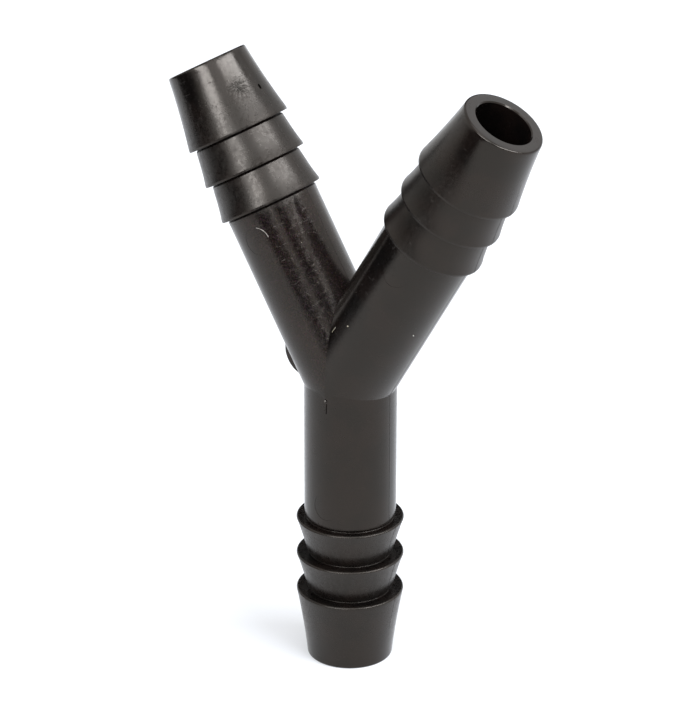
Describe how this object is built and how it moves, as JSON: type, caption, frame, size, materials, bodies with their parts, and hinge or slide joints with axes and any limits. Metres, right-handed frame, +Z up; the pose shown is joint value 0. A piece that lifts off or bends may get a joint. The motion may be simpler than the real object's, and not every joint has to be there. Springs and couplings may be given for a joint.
{
  "type": "tubing y connector",
  "caption": "Rigid black plastic Y connector with hose barbs on its stem and arms, for branching soft tubing.",
  "frame": {"origin": "centre of the stem's mouth, the ring on which the part stands", "axes": "+Z up the stem; the arms lie in the XZ plane and lean to +X and -X; -Y is the front, with the ejector pin marks"},
  "size_m": [0.044, 0.0116, 0.0673],
  "materials": {
    "black_plastic": "semi-gloss"
  },
  "bodies": {
    "root": {"y_connector": "black_plastic"}
  },
  "joints": []
}
